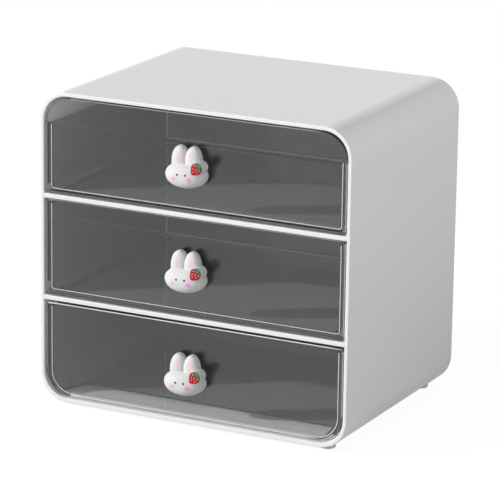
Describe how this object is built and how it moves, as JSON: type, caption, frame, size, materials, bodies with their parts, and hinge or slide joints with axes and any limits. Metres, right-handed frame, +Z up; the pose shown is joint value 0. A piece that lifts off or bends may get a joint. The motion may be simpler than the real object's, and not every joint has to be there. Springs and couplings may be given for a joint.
{
  "type": "desktop drawer organizer",
  "caption": "White rounded desktop organizer case with see-through pull-out drawers stacked one above another, each with an animal-head knob, for makeup and small items.",
  "frame": {"origin": "middle of the organizer's footprint, knobs included, on the table plane under the feet", "axes": "+X to the right across the front, the drawers open towards -Y, +Z up"},
  "size_m": [0.24, 0.1916, 0.2285],
  "materials": {
    "case_white": "satin moulded plastic",
    "foot_white": "matte soft rubber",
    "tray_smoke": "glossy smoky see-through plastic",
    "panel_clear": "glossy clear plastic",
    "knob_white": "matte soft-touch plastic with painted face",
    "berry_red": "painted",
    "leaf_green": "painted",
    "screw_steel": "zinc plated"
  },
  "bodies": {
    "case": {"outer_case": "case_white", "back_panel": "case_white", "lower_shelf": "case_white", "upper_shelf": "case_white", "foot_front_left": "foot_white", "foot_front_right": "foot_white", "foot_back_left": "foot_white", "foot_back_right": "foot_white"},
    "top_drawer": {"top_tray": "tray_smoke", "top_front_panel": "panel_clear", "top_knob": "knob_white", "top_berry": "berry_red", "top_berry_leaves": "leaf_green", "top_knob_screw": "screw_steel"},
    "middle_drawer": {"middle_tray": "tray_smoke", "middle_front_panel": "panel_clear", "middle_knob": "knob_white", "middle_berry": "berry_red", "middle_berry_leaves": "leaf_green", "middle_knob_screw": "screw_steel"},
    "bottom_drawer": {"bottom_tray": "tray_smoke", "bottom_front_panel": "panel_clear", "bottom_knob": "knob_white", "bottom_berry": "berry_red", "bottom_berry_leaves": "leaf_green", "bottom_knob_screw": "screw_steel"}
  },
  "joints": [
    {"name": "top_drawer_slide", "type": "slide", "parent": "case", "child": "top_drawer", "axis": [0, -1, 0], "range_m": [0, 0.13]},
    {"name": "middle_drawer_slide", "type": "slide", "parent": "case", "child": "middle_drawer", "axis": [0, -1, 0], "range_m": [0, 0.13]},
    {"name": "bottom_drawer_slide", "type": "slide", "parent": "case", "child": "bottom_drawer", "axis": [0, -1, 0], "range_m": [0, 0.13]}
  ]
}
